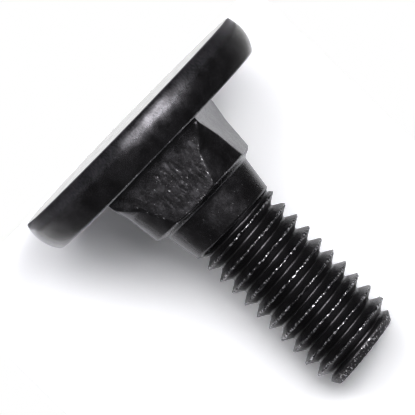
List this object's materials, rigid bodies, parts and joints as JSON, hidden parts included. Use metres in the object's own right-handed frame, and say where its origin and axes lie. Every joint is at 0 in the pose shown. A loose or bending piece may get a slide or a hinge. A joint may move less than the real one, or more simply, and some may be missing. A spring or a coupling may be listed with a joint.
{
  "type": "square neck bolt",
  "caption": "One-piece steel bolt with a wide flat round head, a square neck that keys into a square hole, a plain coned shoulder and a right-hand machine thread; black finish.",
  "frame": {"origin": "middle of the head's top face, which it stands on", "axes": "+Z along the bolt from the head to the threaded end; the flats of the neck face +X, -X, +Y and -Y"},
  "size_m": [0.0172, 0.0172, 0.0198],
  "materials": {
    "black_steel": "black oxide on forged and rolled steel, satin, lightly oiled"
  },
  "bodies": {
    "root": {"square_neck_bolt": "black_steel"}
  },
  "joints": []
}
